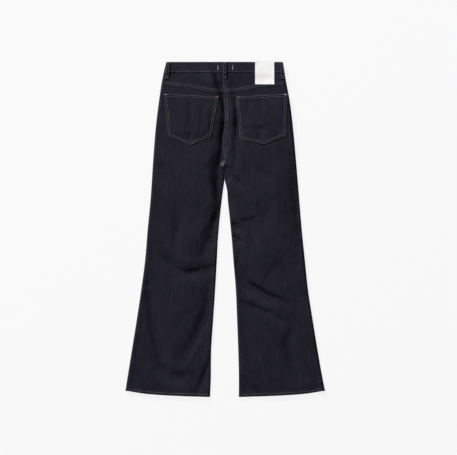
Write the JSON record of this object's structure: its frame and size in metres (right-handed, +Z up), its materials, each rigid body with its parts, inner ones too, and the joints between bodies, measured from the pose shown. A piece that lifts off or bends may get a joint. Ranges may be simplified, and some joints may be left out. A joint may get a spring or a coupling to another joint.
{
  "type": "bootcut jeans",
  "caption": "Flared denim trousers laid flat with the back up: yokes, patch pockets, waistband with belt loops, blank patch and shank button.",
  "frame": {"origin": "middle of the garment's length and width, on the surface that it lies on", "axes": "+Y from the hems to the waist, +X to the wearer's right, +Z up from the surface through the back of the jeans"},
  "size_m": [0.6396, 1.072, 0.0137],
  "materials": {
    "denim": "unwashed dark indigo twill, matt, with pale ecru topstitching",
    "label": "blank off-white patch, smooth and matt",
    "button_metal": "aged copper-brown metal, satin"
  },
  "bodies": {
    "root": {"back_leg_left": "denim", "back_leg_right": "denim", "front_leg_left": "denim", "front_leg_right": "denim", "yoke_left": "denim", "yoke_right": "denim", "waistband": "denim", "back_pocket_left": "denim", "back_pocket_right": "denim", "pocket_facing_left": "denim", "pocket_facing_right": "denim", "belt_loop_centre_back": "denim", "belt_loop_side_left": "denim", "belt_loop_side_right": "denim", "belt_loop_front_left": "denim", "belt_loop_front_right": "denim", "label_patch": "label", "waist_button": "button_metal"}
  },
  "joints": []
}
